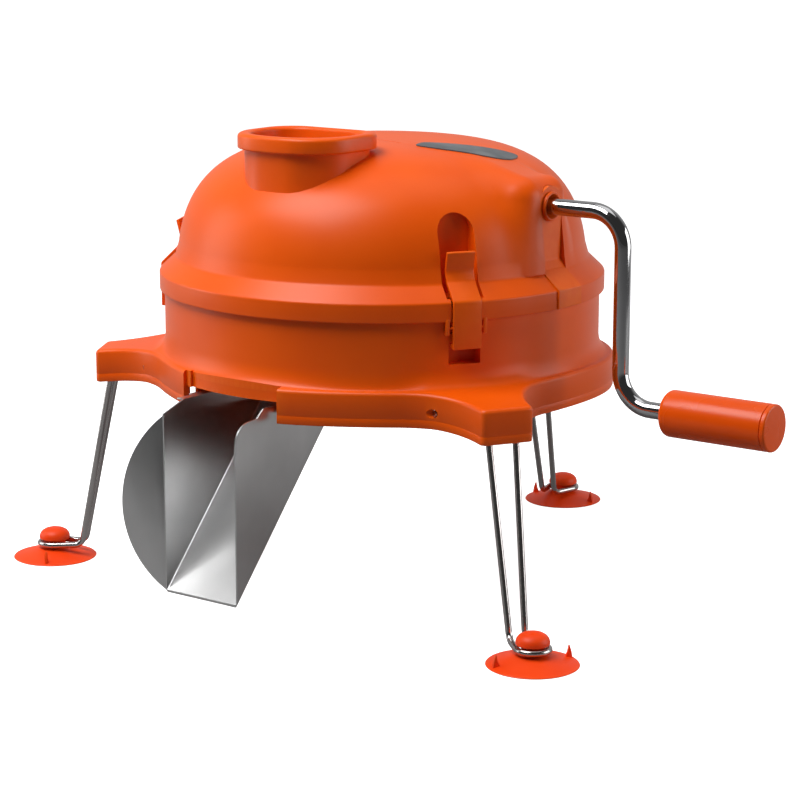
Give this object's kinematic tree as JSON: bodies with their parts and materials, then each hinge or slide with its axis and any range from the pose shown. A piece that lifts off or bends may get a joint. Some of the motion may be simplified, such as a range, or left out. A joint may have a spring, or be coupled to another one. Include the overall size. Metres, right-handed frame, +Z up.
{
  "type": "hand-cranked rotary food cutter",
  "caption": "Hand-cranked rotary food cutter: domed cover with feed throat and crank, drum base with a chute, on folding wire legs with suction feet.",
  "frame": {"origin": "centre of the bounding box, on the surface the three suction cups stand on", "axes": "+X along the crank shaft out of the nose, -Y towards the chute mouth, +Z up"},
  "size_m": [0.4944, 0.4288, 0.288],
  "materials": {
    "orange_plastic": "semi-gloss injection-moulded orange plastic",
    "cup_rubber": "soft orange-red vinyl",
    "stainless": "brushed stainless sheet and wire",
    "chrome": "bright chrome plating",
    "nylon": "natural white nylon",
    "label_grey": "satin grey film"
  },
  "bodies": {
    "base": {"drum_base": "orange_plastic", "spindle_bush": "nylon", "dome_cover": "orange_plastic", "crank_slot_insert": "orange_plastic", "crank_bush": "orange_plastic", "label_plate": "label_grey", "gear_bracket": "nylon", "bracket_screw_1": "stainless", "bracket_screw_2": "stainless", "bracket_screw_3": "stainless", "bracket_screw_4": "stainless", "latch_pin_left": "stainless", "latch_pin_right": "stainless", "latch_pin_rear": "stainless"},
    "crank": {"crank_rod": "chrome", "crank_pinion": "nylon", "crank_collar": "nylon", "grip_retainer": "stainless"},
    "grip": {"crank_grip": "orange_plastic", "grip_end_cap": "orange_plastic"},
    "cutter": {"spindle": "stainless", "crown_gear": "nylon", "thrust_washer": "nylon", "cutting_disc": "stainless", "disc_nut": "nylon", "slicing_blade_1": "stainless", "slicing_blade_2": "stainless", "slicing_blade_3": "stainless", "blade_screw_1a": "stainless", "blade_screw_1b": "stainless", "blade_screw_2a": "stainless", "blade_screw_2b": "stainless", "blade_screw_3a": "stainless", "blade_screw_3b": "stainless"},
    "chute": {"chute_trough": "stainless"},
    "latch_left": {"latch_left": "orange_plastic"},
    "latch_right": {"latch_right": "orange_plastic"},
    "latch_rear": {"latch_rear": "orange_plastic"},
    "leg_left": {"leg_wire_left": "stainless", "suction_cup_left": "cup_rubber"},
    "leg_right": {"leg_wire_right": "stainless", "suction_cup_right": "cup_rubber"},
    "leg_rear": {"leg_wire_rear": "stainless", "suction_cup_rear": "cup_rubber"}
  },
  "joints": [
    {"name": "crank_spin", "type": "hinge", "parent": "base", "child": "crank", "pos_m": [0.09271, -0.0295, 0.245], "axis": [1, 0, 0], "continuous": true},
    {"name": "grip_spin", "type": "hinge", "parent": "crank", "child": "grip", "pos_m": [0.21071, -0.0295, 0.13], "axis": [1, 0, 0], "continuous": true},
    {"name": "disc_spin", "type": "hinge", "parent": "base", "child": "cutter", "pos_m": [-0.03229, -0.0295, 0.178], "axis": [0, 0, 1], "continuous": true},
    {"name": "chute_slide", "type": "slide", "parent": "base", "child": "chute", "axis": [0, -1, 0], "range_m": [0, 0.05]},
    {"name": "latch_left_press", "type": "hinge", "parent": "base", "child": "latch_left", "pos_m": [-0.1556, -0.09342, 0.1817], "axis": [-0.4602, 0.8878, 0], "range_deg": [0, 16], "stiffness_Nm_per_rad": 0.3},
    {"name": "latch_right_press", "type": "hinge", "parent": "base", "child": "latch_right", "pos_m": [0.08473, -0.10433, 0.1817], "axis": [-0.5388, -0.8425, 0], "range_deg": [0, 16], "stiffness_Nm_per_rad": 0.3},
    {"name": "latch_rear_press", "type": "hinge", "parent": "base", "child": "latch_rear", "pos_m": [-0.02599, 0.10926, 0.1817], "axis": [0.999, -0.0454, 0], "range_deg": [0, 16], "stiffness_Nm_per_rad": 0.3},
    {"name": "leg_left_fold", "type": "hinge", "parent": "base", "child": "leg_left", "pos_m": [-0.15899, -0.10265, 0.134], "axis": [0.5, -0.866, 0], "range_deg": [0, 75]},
    {"name": "leg_right_fold", "type": "hinge", "parent": "base", "child": "leg_right", "pos_m": [0.09441, -0.10265, 0.134], "axis": [0.5, 0.866, 0], "range_deg": [0, 75]},
    {"name": "leg_rear_fold", "type": "hinge", "parent": "base", "child": "leg_rear", "pos_m": [-0.03229, 0.1168, 0.134], "axis": [-1, 0, 0], "range_deg": [0, 75]}
  ],
  "couplings": [
    {"joint": "disc_spin", "follows": "crank_spin", "ratio": 0.5}
  ]
}
